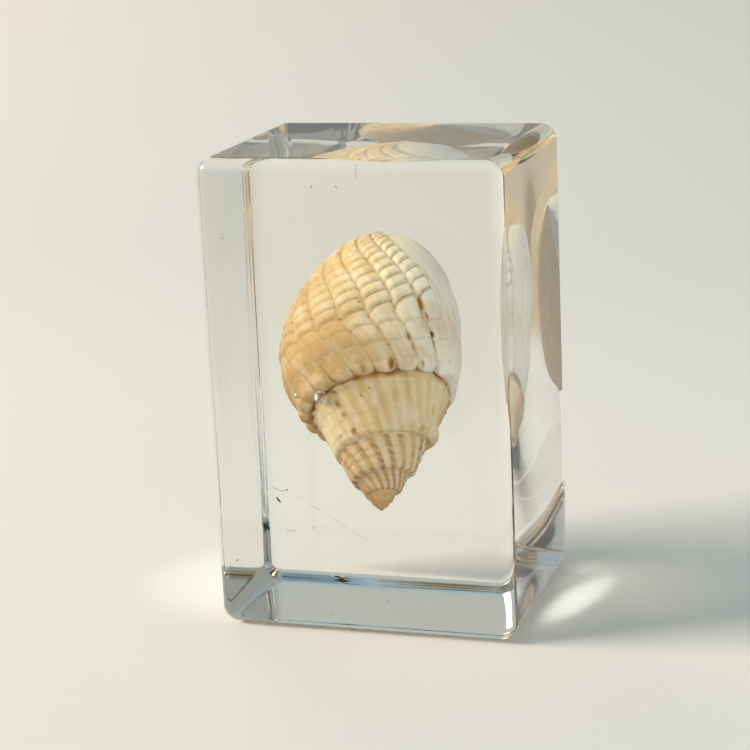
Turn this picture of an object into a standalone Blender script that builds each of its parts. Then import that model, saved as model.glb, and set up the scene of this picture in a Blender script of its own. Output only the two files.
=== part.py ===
"""Shell paperweight: a ribbed sea snail shell set in a clear resin block.

The shell grew as one piece and is one solid.  The block is parted into a front
and a back half with a snug pocket between them, so that the shell can be a solid
of its own.  Metres, +Z up, origin at the middle of the block's underside, the
front face towards -Y.
"""
import math

import bmesh
import bpy
import numpy as np
from mathutils import Matrix, Vector

# Resin block
BLOCK_WIDTH = 0.040
BLOCK_DEPTH = 0.0318
BLOCK_HEIGHT = 0.062
DEPTH_EDGE_RADIUS = 0.0022  # the four edges that run front to back
FACE_EDGE_RADIUS = 0.0017  # the edges around the front and the back face
HALF_GAP = 0.0003
POCKET_CLEARANCE = 0.0015  # from the smooth whorls, so the ribs keep clear of it

# Where the shell lies: its tip down and forward, its wide end up and back
APEX = Vector((0.0023, -0.0122, 0.0155))
LEAN_BACK = math.radians(32.0)
LEAN_LEFT = math.radians(8.3)

# Growth of the shell.  Lengths are in millimetres, and age is counted in turns
# back from the outer lip.
MM = 0.001
SUTURE_RADIUS = 10.1  # where the last whorl joins the one before it, at the lip
SUTURE_HEIGHT = 19.9
SPIRE_WIDENING = 1.78  # radius gained per turn on the early whorls
LAST_WIDENING = 1.34  # and at the end of growth
WIDENING_CHANGE = 0.8  # turns over which the widening slows
HEIGHT_GAIN = 1.8  # height gained per turn
LIP_DROP = 3.4  # the last of the suture turns back towards the tip
LIP_DROP_SPAN = 0.2
BODY_RADIUS = 11.75  # the widest place of the last whorl, at the lip
BODY_RADIUS_GAIN = 0.95
BODY_HEIGHT = 26.5
BODY_HEIGHT_GAIN = 1.59
SHELL_LENGTH = 39.9
CANAL_SHIFT = 3.4  # the canal opens beside the axis
TURNS = 4.4
TIP_HEIGHT_SHARE = 0.3  # of the height where the tip's cap begins
TIP_BULGE = 0.68  # the cap's radius half way down it
LIP_ANGLE = math.radians(125.0)  # from the front, round the right-hand side
SHOULDER_STEP = 0.085  # as a share of the radius
SHOULDER_WIDTH = 0.10
# Rings of the hollow behind the lip: distance in from the lip's edge, angle inwards
APERTURE_RINGS = (
    (0.8, 0.0),
    (1.0, math.radians(8.0)),
    (1.2, math.radians(16.0)),
    (1.8, math.radians(22.0)),
)

# Outline of the last whorl from its widest place to the canal, as shares of the
# way there and of the radius: the back of the shell, and its inner lip
BACK_OUTLINE = ((0.0, 1.0), (0.25, 0.97), (0.5, 0.84), (0.7, 0.65), (0.85, 0.44), (0.95, 0.18), (1.0, 0.03))
COLUMN_OUTLINE = ((0.0, 1.0), (0.25, 0.66), (0.5, 0.42), (0.7, 0.32), (0.85, 0.25), (0.95, 0.15), (1.0, 0.03))

# Ribs along the axis, and cords that run round the whorls.  Lip and ribs lean back
# towards the canal by one rib's width from a suture to the next.
RIBS_LAST_TURN = 19
COLUMNS_PER_RIB = 3
COLUMNS_PER_EARLY_RIB = 2
COLUMNS_PER_TURN = RIBS_LAST_TURN * COLUMNS_PER_RIB
SLANT_COLUMNS = COLUMNS_PER_RIB
RIB_CROWDING = 0.15  # ribs stand closer at the lip than half a turn back
RIB_HEIGHT = 0.40
CORDS_BESIDE_SUTURE = 5
CORDS_BELOW = 8
CORD_HEIGHT = 0.26
SCALLOP = 0.55


def smooth_step(low, high, value):
    """0 below low, 1 above high, with a soft change between them."""
    share = np.clip((value - low) / (high - low), 0.0, 1.0)
    return share * share * (3.0 - 2.0 * share)


def outline_radius(outline, share):
    """Radius share on a soft curve through the outline's points."""
    points = np.array(outline)
    step = np.diff(points[:, 0])
    slope = np.diff(points[:, 1]) / step
    tangent = np.concatenate([[0.0], (slope[:-1] + slope[1:]) / 2.0, [slope[-1]]])
    index = np.clip(np.searchsorted(points[:, 0], share, side="right") - 1, 0, len(step) - 1)
    t = (share - points[index, 0]) / step[index]
    start = (1 + 2 * t) * (1 - t) ** 2 * points[index, 1] + t * (1 - t) ** 2 * step[index] * tangent[index]
    end = t * t * (3 - 2 * t) * points[index + 1, 1] + t * t * (t - 1) * step[index] * tangent[index + 1]
    return start + end


def suture(age):
    """Radius and height of the spiral line where two whorls meet."""
    slowing = math.log(SPIRE_WIDENING / LAST_WIDENING) * WIDENING_CHANGE
    growth = math.log(SPIRE_WIDENING) * age - slowing * (1.0 - np.exp(-age / WIDENING_CHANGE))
    radius = SUTURE_RADIUS * np.exp(-growth)
    height = SUTURE_HEIGHT * HEIGHT_GAIN ** (-age)
    height = height - LIP_DROP * np.clip(1.0 - age / LIP_DROP_SPAN, 0.0, 1.0) ** 2
    return radius, height


def widest_line(age):
    """Radius and height of the last whorl's widest place.

    On the earlier whorls this line is the next suture, which covers the rest.
    """
    next_radius, next_height = suture(np.maximum(age - 1.0, 0.0))
    radius = BODY_RADIUS * BODY_RADIUS_GAIN ** (-age)
    height = BODY_HEIGHT * BODY_HEIGHT_GAIN ** (-age)
    covered = smooth_step(0.6, 1.0, age)
    return radius + (next_radius - radius) * covered, height + (next_height - height) * covered


def age_of(column):
    """Age of a growth line.  Every turn has the same columns, so sutures meet."""
    turns = np.linspace(0.0, 1.0, 2001)
    share = turns + RIB_CROWDING * np.sin(2 * math.pi * turns) / (2 * math.pi)
    whole = np.floor(column / COLUMNS_PER_TURN)
    return whole + np.interp(column / COLUMNS_PER_TURN - whole, share, turns)


def whorl_surface(column, across):
    """Smooth whorls: across is 0 at the suture, 1 at the widest line, 2 at the canal."""
    age = age_of(column + SLANT_COLUMNS * across)
    suture_radius, suture_height = suture(age)
    wide_radius, wide_height = widest_line(age)
    near = np.clip(across, 0.0, 1.0)
    beyond = np.clip(across - 1.0, 0.0, 1.0)
    roundness = 1.0 - smooth_step(0.67, 1.0, age)
    bulge = (1.0 - roundness) * near + roundness * np.sin(near * math.pi / 2)
    shoulder = smooth_step(0.0, SHOULDER_WIDTH, near) * (1.0 - near) ** 0.8
    radius = suture_radius + (wide_radius - suture_radius) * bulge + SHOULDER_STEP * suture_radius * shoulder
    height = suture_height + (wide_height - suture_height) * near
    inner = smooth_step(0.55, 1.0, age)
    outline = outline_radius(BACK_OUTLINE, beyond) * (1.0 - inner) + outline_radius(COLUMN_OUTLINE, beyond) * inner
    radius = np.where(across > 1.0, wide_radius * outline, radius)
    height = np.where(across > 1.0, wide_height + (SHELL_LENGTH - wide_height) * beyond, height)
    angle = LIP_ANGLE - 2 * math.pi * age
    x = radius * np.sin(angle) + CANAL_SHIFT * beyond**2
    y = -radius * np.cos(angle)
    return np.stack([x, y, height], axis=-1)


def outward(points):
    """Unit normals of a grid of points, away from the axis."""
    normal = np.cross(np.gradient(points, axis=1), np.gradient(points, axis=0))
    normal /= np.linalg.norm(normal, axis=-1, keepdims=True) + 1e-12
    radial = points * np.array([1.0, 1.0, 0.0])
    return normal * np.sign(np.sum(normal * radial, axis=-1).mean())


def carved(column, across, points):
    """The whorls with their ribs, cords and scalloped shoulder."""
    age = age_of(column)
    early = np.maximum(column - COLUMNS_PER_TURN, 0.0)
    phase = np.minimum(column, COLUMNS_PER_TURN) / COLUMNS_PER_RIB + early / COLUMNS_PER_EARLY_RIB
    rib = 1.0 - np.abs(np.cos(math.pi * phase)) ** 3
    cord_phase = np.where(across < 1.0, across * CORDS_BESIDE_SUTURE, (across - 1.0) * CORDS_BELOW)
    cord = np.sin(math.pi * cord_phase) ** 2
    suture_radius, _ = suture(age)
    size = np.clip(suture_radius / 9.0, 0.0, 1.0)
    lip_band = smooth_step(0.06, 0.16, age)
    under_next = 1.0 - smooth_step(0.9, 1.0, across) * smooth_step(0.8, 0.93, age)
    ends = smooth_step(0.0, 0.08, across) * (1.0 - smooth_step(1.85, 2.0, across)) * under_next
    inner_lip = 1.0 - smooth_step(0.75, 0.93, age) * smooth_step(0.95, 1.05, across)
    tip = 1.0 - smooth_step(3.0, 3.6, age)
    height = (RIB_HEIGHT * rib + CORD_HEIGHT * cord * (0.4 + 0.6 * rib)) * size * lip_band * ends * inner_lip * tip
    edge = smooth_step(0.0, 0.06, across) * (1.0 - smooth_step(0.06, 0.3, across))
    moved = points + outward(points) * height[..., None]
    moved[..., 2] -= SCALLOP * edge * rib * size**2 * lip_band * tip
    return moved


def shell_mesh(name):
    """One closed mesh: whorls, tip, canal end, outer lip and the hollow behind it."""
    end_column = round(TURNS * COLUMNS_PER_TURN)
    inner_column = COLUMNS_PER_TURN - SLANT_COLUMNS  # where the inner lip begins
    near_rows = np.linspace(0.0, 1.0, 2 * CORDS_BESIDE_SUTURE + 1)
    near_rows[1] = 0.07
    below_rows = 1.0 + np.linspace(0.0, 1.0, 2 * CORDS_BELOW + 1)[1:]
    rows = np.concatenate([near_rows, below_rows])
    join_row = len(near_rows) - 1
    last_row = len(rows) - 1

    column_grid, across_grid = np.meshgrid(np.arange(end_column + 1.0), rows, indexing="ij")
    smooth_points = whorl_surface(column_grid, across_grid)
    points = carved(column_grid, across_grid, smooth_points)
    points[:, 0] = smooth_points[:, 0]

    bm = bmesh.new()
    verts = {}

    def corner(column, row):
        """Vertex of the grid.  A covered whorl's edge is the next turn's suture."""
        if row == join_row and column >= inner_column:
            return corner(column - inner_column, 0)
        if (column, row) not in verts:
            verts[(column, row)] = bm.verts.new(points[column, row])
        return verts[(column, row)]

    for column in range(end_column):
        end_row = last_row if column < inner_column else join_row
        for row in range(end_row):
            bm.faces.new(
                (
                    corner(column, row),
                    corner(column + 1, row),
                    corner(column + 1, row + 1),
                    corner(column, row + 1),
                )
            )

    # the tip: the open edge of the first turn, closed by a blunt cap
    first_open = end_column - inner_column
    rim = [corner(column, 0) for column in range(first_open, end_column + 1)]
    rim += [corner(end_column, row) for row in range(1, join_row)]
    rim_height = sum(vert.co.z for vert in rim) / len(rim)
    tip_height = rim_height * TIP_HEIGHT_SHARE
    dome = []
    for vert in rim:
        half_way = (vert.co.z + tip_height) / 2
        dome.append(bm.verts.new((vert.co.x * TIP_BULGE, vert.co.y * TIP_BULGE, half_way)))
    tip = bm.verts.new((0.0, 0.0, tip_height))
    for index, vert in enumerate(rim):
        after = (index + 1) % len(rim)
        bm.faces.new((vert, rim[after], dome[after], dome[index]))
        bm.faces.new((dome[index], dome[after], tip))

    # the canal end
    canal_ring = [corner(column, last_row) for column in range(inner_column + 1)]
    canal_tip = bm.verts.new((CANAL_SHIFT, 0.0, SHELL_LENGTH + 0.1))
    for index, vert in enumerate(canal_ring):
        bm.faces.new((vert, canal_tip, canal_ring[(index + 1) % len(canal_ring)]))

    # the aperture: up the outer lip, back down the inner lip, then inwards
    loop = [corner(0, row) for row in range(last_row + 1)]
    loop += [corner(inner_column, row) for row in range(last_row, join_row, -1)]
    centre = sum((vert.co for vert in loop), Vector()) / len(loop)
    previous = loop
    for inset, turn_back in APERTURE_RINGS:
        ring = []
        for vert in loop:
            towards = centre - vert.co
            reach = min(inset, towards.length * 0.35 * inset)
            point = vert.co + towards.normalized() * reach
            turned = Matrix.Rotation(-turn_back, 3, "Z") @ point
            ring.append(bm.verts.new(turned))
        for index in range(len(loop)):
            after = (index + 1) % len(loop)
            bm.faces.new((previous[index], previous[after], ring[after], ring[index]))
        previous = ring
    middle = bm.verts.new(sum((vert.co for vert in previous), Vector()) / len(previous))
    for index, vert in enumerate(previous):
        bm.faces.new((vert, previous[(index + 1) % len(previous)], middle))

    bmesh.ops.scale(bm, vec=(MM, MM, MM), verts=bm.verts)
    bmesh.ops.recalc_face_normals(bm, faces=bm.faces)
    mesh = bpy.data.meshes.new(name)
    bm.to_mesh(mesh)
    bm.free()
    mesh.shade_smooth()
    return mesh


def shell_placement():
    """The shell's own frame in the block: its axis runs from the tip to the canal."""
    axis = Vector(
        (
            -math.sin(LEAN_LEFT) * math.cos(LEAN_BACK),
            math.sin(LEAN_BACK),
            math.cos(LEAN_LEFT) * math.cos(LEAN_BACK),
        )
    )
    right = Vector((math.cos(LEAN_LEFT), 0.0, math.sin(LEAN_LEFT)))
    back = axis.cross(right)
    turn = Matrix((right, back, axis)).transposed()
    return Matrix.Translation(APEX) @ turn.to_4x4()


def make_material(name, colour, roughness, transmission=0.0, ior=1.5):
    """A plain surface with one colour, and see-through where the real one is."""
    material = bpy.data.materials.new(name)
    material.use_nodes = True
    surface = material.node_tree.nodes["Principled BSDF"]
    surface.inputs["Base Color"].default_value = (*colour, 1.0)
    surface.inputs["Roughness"].default_value = roughness
    surface.inputs["Metallic"].default_value = 0.0
    surface.inputs["Transmission Weight"].default_value = transmission
    surface.inputs["IOR"].default_value = ior
    material.diffuse_color = (*colour, 1.0)
    return material


def add_object(name, mesh, collection, material=None):
    """Link a mesh to the scene as a named object."""
    obj = bpy.data.objects.new(name, mesh)
    collection.objects.link(obj)
    if material is not None:
        mesh.materials.append(material)
    return obj


def rounded_block_mesh(name):
    """The cast block with its sanded edges."""
    bm = bmesh.new()
    bmesh.ops.create_cube(bm, size=1.0)
    bmesh.ops.scale(bm, vec=(BLOCK_WIDTH, BLOCK_DEPTH, BLOCK_HEIGHT), verts=bm.verts)
    bmesh.ops.translate(bm, vec=(0.0, 0.0, BLOCK_HEIGHT / 2), verts=bm.verts)
    depth_edges = [edge for edge in bm.edges if abs(edge.verts[0].co.y - edge.verts[1].co.y) > BLOCK_DEPTH / 2]
    bmesh.ops.bevel(
        bm, geom=depth_edges, offset=DEPTH_EDGE_RADIUS, segments=5, profile=0.5, affect="EDGES", clamp_overlap=True
    )
    face_edges = [
        edge
        for edge in bm.edges
        if all(abs(abs(vert.co.y) - BLOCK_DEPTH / 2) < 1e-6 for vert in edge.verts)
    ]
    bmesh.ops.bevel(
        bm, geom=face_edges, offset=FACE_EDGE_RADIUS, segments=4, profile=0.5, affect="EDGES", clamp_overlap=True
    )
    mesh = bpy.data.meshes.new(name)
    bm.to_mesh(mesh)
    bm.free()
    mesh.shade_smooth()
    mesh.set_sharp_from_angle(angle=math.radians(35))
    return mesh


def half_space_mesh(name, side):
    """A box over one side of the parting plane, side -1 in front and 1 behind."""
    bm = bmesh.new()
    bmesh.ops.create_cube(bm, size=1.0)
    bmesh.ops.scale(bm, vec=(BLOCK_WIDTH * 2, BLOCK_DEPTH * 2, BLOCK_HEIGHT * 2), verts=bm.verts)
    middle = side * (BLOCK_DEPTH - HALF_GAP / 2)
    bmesh.ops.translate(bm, vec=(0.0, middle, BLOCK_HEIGHT / 2), verts=bm.verts)
    mesh = bpy.data.meshes.new(name)
    bm.to_mesh(mesh)
    bm.free()
    return mesh


def pocket_mesh(name):
    """The hollow around the shell: the hull of its smooth whorls, let out a little."""
    columns = np.linspace(0.0, COLUMNS_PER_TURN, 15)
    rows = np.concatenate([np.linspace(0.0, 1.0, 3), np.linspace(1.25, 2.0, 5)])
    column_grid, across_grid = np.meshgrid(columns, rows, indexing="ij")
    body = whorl_surface(column_grid, across_grid).reshape(-1, 3)
    columns = np.linspace(COLUMNS_PER_TURN, TURNS * COLUMNS_PER_TURN, 34)
    spire = whorl_surface(columns, np.full(len(columns), 0.1))
    bm = bmesh.new()
    for point in np.concatenate([body, spire, [[0.0, 0.0, 0.2]], [[CANAL_SHIFT, 0.0, SHELL_LENGTH]]]):
        bm.verts.new(point * MM)
    hull = bmesh.ops.convex_hull(bm, input=bm.verts)
    loose = [item for item in hull["geom_interior"] + hull["geom_unused"] if isinstance(item, bmesh.types.BMVert)]
    bmesh.ops.delete(bm, geom=list(set(loose)), context="VERTS")
    bmesh.ops.recalc_face_normals(bm, faces=bm.faces)
    bm.normal_update()
    moves = [(vert, vert.normal.copy()) for vert in bm.verts]
    for vert, normal in moves:
        vert.co += normal * POCKET_CLEARANCE
    mesh = bpy.data.meshes.new(name)
    bm.to_mesh(mesh)
    bm.free()
    return mesh


def cut_with(obj, cutter, name):
    """Take a closed cutter out of an object."""
    boolean = obj.modifiers.new(name, "BOOLEAN")
    boolean.operation = "DIFFERENCE"
    boolean.solver = "EXACT"
    boolean.object = cutter


def main():
    for obj in list(bpy.data.objects):
        bpy.data.objects.remove(obj)

    parts = bpy.data.collections.new("shell_paperweight")
    cutters = bpy.data.collections.new("cutters")
    bpy.context.scene.collection.children.link(parts)
    bpy.context.scene.collection.children.link(cutters)

    resin = make_material("clear_resin", (0.96, 0.96, 0.93), 0.02, transmission=1.0, ior=1.52)
    shell_lime = make_material("shell_lime", (0.72, 0.60, 0.40), 0.45)

    placement = shell_placement()
    shell = add_object("shell", shell_mesh("shell"), parts, shell_lime)
    shell.matrix_world = placement

    pocket = add_object("pocket_cutter", pocket_mesh("pocket_cutter"), cutters)
    pocket.matrix_world = placement
    behind = add_object("behind_cutter", half_space_mesh("behind_cutter", 1), cutters)
    ahead = add_object("ahead_cutter", half_space_mesh("ahead_cutter", -1), cutters)
    for cutter in (pocket, behind, ahead):
        cutter.hide_render = True
        cutter.display_type = "WIRE"

    front = add_object("resin_front", rounded_block_mesh("resin_front"), parts, resin)
    cut_with(front, behind, "part_the_block")
    cut_with(front, pocket, "pocket")
    back = add_object("resin_back", rounded_block_mesh("resin_back"), parts, resin)
    cut_with(back, ahead, "part_the_block")
    cut_with(back, pocket, "pocket")


main()
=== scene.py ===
import math

import bmesh
import bpy
import numpy as np
from mathutils import Matrix, Vector


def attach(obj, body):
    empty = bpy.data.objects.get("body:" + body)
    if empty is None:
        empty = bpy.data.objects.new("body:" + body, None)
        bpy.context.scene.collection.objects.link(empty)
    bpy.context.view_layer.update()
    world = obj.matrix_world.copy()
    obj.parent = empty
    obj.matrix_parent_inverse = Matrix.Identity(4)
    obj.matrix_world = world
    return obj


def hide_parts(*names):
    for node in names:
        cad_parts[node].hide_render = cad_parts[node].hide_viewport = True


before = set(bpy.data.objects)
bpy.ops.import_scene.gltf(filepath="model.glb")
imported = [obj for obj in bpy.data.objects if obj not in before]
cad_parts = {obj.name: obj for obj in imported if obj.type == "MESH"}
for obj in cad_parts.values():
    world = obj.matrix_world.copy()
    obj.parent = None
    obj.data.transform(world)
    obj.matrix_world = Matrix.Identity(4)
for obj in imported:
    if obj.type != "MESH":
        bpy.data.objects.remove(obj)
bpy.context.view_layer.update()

mm = 0.001


def linearColour(hexColour, alpha=1.0):
    # sRGB hex to the linear values that shaders take
    parts = [int(hexColour[i:i + 2], 16) / 255 for i in (0, 2, 4)]
    return tuple(p / 12.92 if p <= 0.04045 else ((p + 0.055) / 1.055) ** 2.4 for p in parts) + (alpha,)


def addNode(tree, kind, settings=None, links=None):
    # one node: settings are properties, or input values by name or number
    # links are input -> output socket
    node = tree.nodes.new(kind)
    for name, value in (settings or {}).items():
        if isinstance(name, int) or name in node.inputs:
            node.inputs[name].default_value = value
        else:
            setattr(node, name, value)
    for name, source in (links or {}).items():
        tree.links.new(source, node.inputs[name])
    return node


def newMaterial(name):
    material = bpy.data.materials.new(name)
    material.use_nodes = True
    tree = material.node_tree
    return material, tree, tree.nodes["Principled BSDF"]


def addPiece(name, mesh, material):
    piece = bpy.data.objects.new(name, mesh)
    bpy.context.scene.collection.objects.link(piece)
    mesh.materials.append(material)
    return piece


def smoothStep(low, high, value):
    share = np.clip((value - low) / (high - low), 0.0, 1.0)
    return share * share * (3.0 - 2.0 * share)


# Camera: the photograph's view, worked out from the block's corners.

cameraSettings = {
    "place": (0.08513, -0.26826, 0.10484),
    "turn": (75.22, -2.60, 18.03),  # degrees
    "lens": 105.07,
}


def addCamera(s):
    camera = bpy.data.cameras.new("camera")
    camera.sensor_width = 36
    camera.lens = s["lens"]
    camera.clip_start = 0.01
    cameraObject = bpy.data.objects.new("camera", camera)
    bpy.context.scene.collection.objects.link(cameraObject)
    cameraObject.location = s["place"]
    pitch, roll, yaw = [math.radians(v) for v in s["turn"]]
    look = Matrix.Rotation(yaw, 4, "Z") @ Matrix.Rotation(pitch, 4, "X") @ Matrix.Rotation(roll, 4, "Z")
    cameraObject.rotation_euler = look.to_euler()
    bpy.context.scene.camera = cameraObject


addCamera(cameraSettings)
print("camera placed")


# Shell: every whorl is the same growing outline, wound round the axis from the tip to the lip.

shellSettings = {
    "apex": (2.3, -12.2, 15.5),
    "leanBack": 32.0,  # degrees
    "leanLeft": 8.3,
    "sutureRadius": 10.1,  # mm, at the lip, as the other lengths here
    "sutureHeight": 19.9,
    "spireWidening": 1.78,  # a turn on the spire, and less on the last whorl
    "lastWidening": 1.34,
    "wideningChange": 0.8,
    "heightGain": 1.8,
    "lipDrop": 3.4,
    "lipDropSpan": 0.2,
    "bodyRadius": 11.75,
    "bodyRadiusGain": 0.95,
    "bodyHeight": 26.5,
    "bodyHeightGain": 1.59,
    "length": 39.9,
    "canalShift": 3.4,
    "turns": 4.4,
    "tipHeightShare": 0.3,
    "tipBulge": 0.68,
    "lipAngle": 125.0,  # degrees round the axis
    "shoulderStep": 0.085,
    "shoulderWidth": 0.10,
    "spireStep": 1.2,  # how much bolder the shoulders are towards the tip
    "backOutline": (  # from the widest line to the canal: share of the way, share of the radius
        (0.0, 1.0), (0.25, 0.97), (0.5, 0.84), (0.7, 0.65), (0.85, 0.44), (0.95, 0.18), (1.0, 0.03)),
    "columnOutline": (
        (0.0, 1.0), (0.25, 0.66), (0.5, 0.42), (0.7, 0.32), (0.85, 0.25), (0.95, 0.15), (1.0, 0.03)),
    "ribsPerTurn": 19,
    "ribCrowding": 0.15,  # how unevenly they stand round a turn
    "broadRibs": 8.0,  # wide ribs behind the lip, and how fast they narrow
    "broadRate": (0.92, 0.0205),
    "narrowRate": 1.25,  # furrows to a rib: behind those, on the spire, and beside the tip
    "spireRate": 1.5,
    "tipRate": 0.95,
    "ribGap": 0.49,  # the first furrow lies this far behind the lip, in ribs
    "ribLean": 3.4,  # below the widest line the ribs lean towards the lip
    "ribHeight": 0.2,
    # the grooves between cords: broad cords beside the suture, narrow ones beyond
    "cordLines": (0.0, 0.2, 0.475, 0.8, 1.03, 1.12, 1.205, 1.29, 1.375, 1.455,
                  1.53, 1.6, 1.665, 1.73, 1.79, 1.85, 1.9, 1.95, 2.0),
    "askew": 3.1,  # how fast the grooves leave the suture's line, and how many turns before the lip
    "askewFrom": 0.38,
    "askewBehind": 0.12,
    "cordHeight": 0.5,
    "cordDip": 0.3,  # each cord dips at its rib's far end, by this share of its width
    "scallop": 0.6,
    "knobs": 0.6,  # on the shoulder, at the foot of each rib
    "knobLevel": 0.16,
    "lipBand": 2.0,  # ribs wide: the smooth band behind the lip
    "spireFade": 0.35,  # relief left on the glazed whorl before the last
    "worn": 0.7,  # relief lost near the suture, from one rib to another
    "wornRibs": (5.6, 7.0),
    "sutureBeads": 0.4,  # beside the third whorl
    "beadLevel": 0.93,
    "lipTeeth": 0.24,
    "mouthSteps": ((0.8, 0.0), (1.0, 8.0), (1.2, 16.0), (1.8, 22.0)),  # mm inwards, degrees round
    "channelTurns": (0.95, 1.78),  # where dirt lies under the last whorl's edge
    "linesPerRib": 24,  # of the mesh, with rows before and beyond the widest line
    "nearRows": 56,
    "farRows": 96,
    "stainReach": 60,  # lines that one stain can cover on either side
    # stains: ribs back from the lip, level, size in mm along the rib and across it, depth of colour
    "ochreStains": (
        (3.45, 1.1, 1.5, 0.4, 1.0), (3.38, 0.98, 0.8, 0.25, 0.8), (4.48, 0.55, 0.8, 0.4, 0.8),
        (4.48, 0.36, 0.7, 0.25, 0.7), (5.5, 0.13, 0.8, 0.6, 1.0), (4.27, 0.13, 0.5, 0.25, 0.7),
        (6.55, 0.13, 0.7, 0.5, 0.5), (3.63, 1.24, 0.4, 0.35, 0.7), (5.5, 1.64, 0.4, 0.5, 0.4),
        (5.04, 1.54, 0.4, 0.5, 0.4), (2.95, 1.48, 0.6, 0.25, 0.4), (2.77, 1.38, 0.7, 0.25, 0.45),
        (26.2, 0.9, 0.5, 0.4, 0.8), (26.45, 0.67, 0.6, 0.45, 0.7), (26.5, 0.46, 0.5, 0.5, 0.6),
        (26.5, 0.15, 0.5, 0.5, 0.9), (27.4, 0.17, 0.3, 0.3, 0.5), (22.2, 0.1, 0.5, 0.6, 0.3),
        (21.2, 0.43, 0.7, 0.4, 0.3), (23.7, 0.95, 0.5, 0.9, 0.8), (21.3, 0.96, 0.3, 0.7, 0.8),
        (25.0, 0.96, 0.3, 0.6, 0.7),
    ),
    "darkStains": (
        (3.5, 0.62, 0.6, 0.32, 1.0), (3.53, 0.47, 0.9, 0.16, 0.9), (5.45, 1.14, 0.2, 0.25, 0.8),
        (6.18, 1.03, 0.2, 0.25, 0.9), (4.6, 1.26, 0.18, 0.2, 0.8), (3.77, 1.31, 0.2, 0.25, 0.8),
        (25.27, 0.66, 0.15, 0.15, 0.7), (24.77, 0.75, 0.18, 0.2, 0.5), (20.5, 0.93, 0.15, 0.12, 0.9),
        (19.9, 0.91, 0.15, 0.12, 0.9), (40.2, 0.99, 0.15, 0.1, 0.9), (39.6, 0.99, 0.15, 0.1, 0.9),
    ),
    "byAge": (  # the body colour, by turns back from the lip
        (0.0, "e9eae2"), (0.17, "edebdf"), (0.25, "ede4c8"), (0.33, "dfcb9b"),
        (0.5, "d9c192"), (0.7, "d2b074"), (1.02, "ccaa70"), (1.1, "e2d1a2"),
        (1.3, "d8bd84"), (1.5, "e6d4aa"), (1.75, "dabc83"), (1.95, "dcc595"),
        (2.4, "d4b57c"), (3.0, "cfab74"), (3.5, "c49c66"), (4.4, "c7a069"),
    ),
    "glaze": "f4efe2",
    # tan of the streaks, and painted shade with dirt in the furrows and grooves
    "tanLinesAndShade": "b08449",
    # brown of the spire's squares, and painted shade with dirt in the last whorl's pits
    "pitShadeAndSpireBrown": "8c5f22",
    "tan": "c79a5c",
    "lowTanAndShade": "be9a5f",  # nearer the suture, where the lip was once worn: partly the shell's own tan, partly painted shade where the last whorl faces down
    "ochre": "a26404",
    "dark": "641408",
    "patch": 3.0,  # mm, white patches of glaze
    "blot": 7.0,  # mm, tan clouds
    "streakWidth": 0.25,  # of a rib
    "grain": 0.12,  # mm
    "ripple": 0.05,  # mm, how high the growth lines stand
    "poreDepth": 0.02,  # mm
    "gloss": 0.12,  # specular level
    "masks": {  # what each one follows, from where to where, and its values there
        "tanClouds": ("blots", 0.5, 0.65, 0.0, 0.3),
        "lowOnWhorl": ("level", 0.85, 1.3, 0.65, 0.0),
        "behindLip": ("age", 0.22, 0.42, 0.0, 1.0),
        "onLastWhorl": ("age", 1.0, 1.08, 1.0, 0.0),
        "onSpire": ("age", 1.0, 1.08, 0.0, 1.0),
        "onThird": ("age", 1.98, 2.05, 0.0, 1.0),
        "besideTip": ("age", 3.2, 3.6, 1.0, 0.0),
        "glazed": ("patches", 0.45, 0.7, 0.0, 0.35),
        "ribTops": ("ribShare", 0.15, 0.4, 0.0, 0.36),
        "brokenLines": ("streaks", 0.35, 0.6, 0.35, 1.0),
        "tanLines": ("streaks", 0.35, 0.75, 0.0, 0.3),
        "inFurrow": ("crest", 0.1, 0.75, 1.0, 0.0),
        "inGroove": ("cord", 0.1, 0.62, 1.0, 0.0),
        "onRelief": ("shown", 0.3, 1.0, 0.0, 1.0),  # the band behind the lip stays clean
        # dirt and painted shade: patches where the furrows, grooves and pits are painted darker
        "dirtAndShade": ("patches", 0.35, 0.6, 0.3, 1.0),
        # dirt and painted shade: how dark the furrows are painted
        "furrowDirtAndShade": ("dirtAndShade", 0.0, 1.0, 0.1, 0.3),
        # painted shade in the grooves under each cord's edge, a little darker where the dirt noise is high
        "grooveShadeAndDirt": ("dirtAndShade", 0.0, 1.0, 0.5, 0.85),
        "narrowRows": ("level", 0.95, 1.12, 0.22, 1.0),
        "spireFurrows": ("ribShare", 0.12, 0.3, 0.72, 0.0),
        "cordTops": ("cord", 0.45, 0.8, 0.35, 1.0),
        "spireDirt": ("patches", 0.35, 0.6, 0.25, 1.0),
        "channelDirt": ("patches", 0.35, 0.6, 0.15, 1.0),  # caught under the last whorl's edge
        "dull": ("grainNoise", 0.3, 0.7, 0.42, 0.6),  # the roughness
    },
    "layers": (  # over the body colour, in this order: masks, multiplied, and one of the colours above
        (("tanClouds",), "tan"),
        # partly the shell's own tan, partly painted shade on the downward-facing lower part of the last whorl
        (("lowOnWhorl", "behindLip", "onLastWhorl"), "lowTanAndShade"),
        (("glazed",), "glaze"),
        (("ribTops", "onSpire", "besideTip", "brokenLines"), "glaze"),
        (("tanLines",), "tanLinesAndShade"),
        # dirt and painted shade in the furrows between ribs
        (("inFurrow", "onRelief", "furrowDirtAndShade"), "tanLinesAndShade"),
        # painted shade: a dark line in the groove under each bead, where its lower edge throws shadow
        (("inGroove", "onRelief", "narrowRows", "grooveShadeAndDirt"), "tanLinesAndShade"),
        # dirt and painted shade in the pits where furrows cross grooves
        (("inFurrow", "inGroove", "onRelief", "dirtAndShade"), "pitShadeAndSpireBrown"),
        (("spireFurrows", "cordTops", "onThird", "besideTip", "spireDirt"), "pitShadeAndSpireBrown"),
        (("channel", "channelDirt"), "ochre"),
        (("ochre",), "ochre"),
        (("dark",), "dark"),
    ),
}
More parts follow.
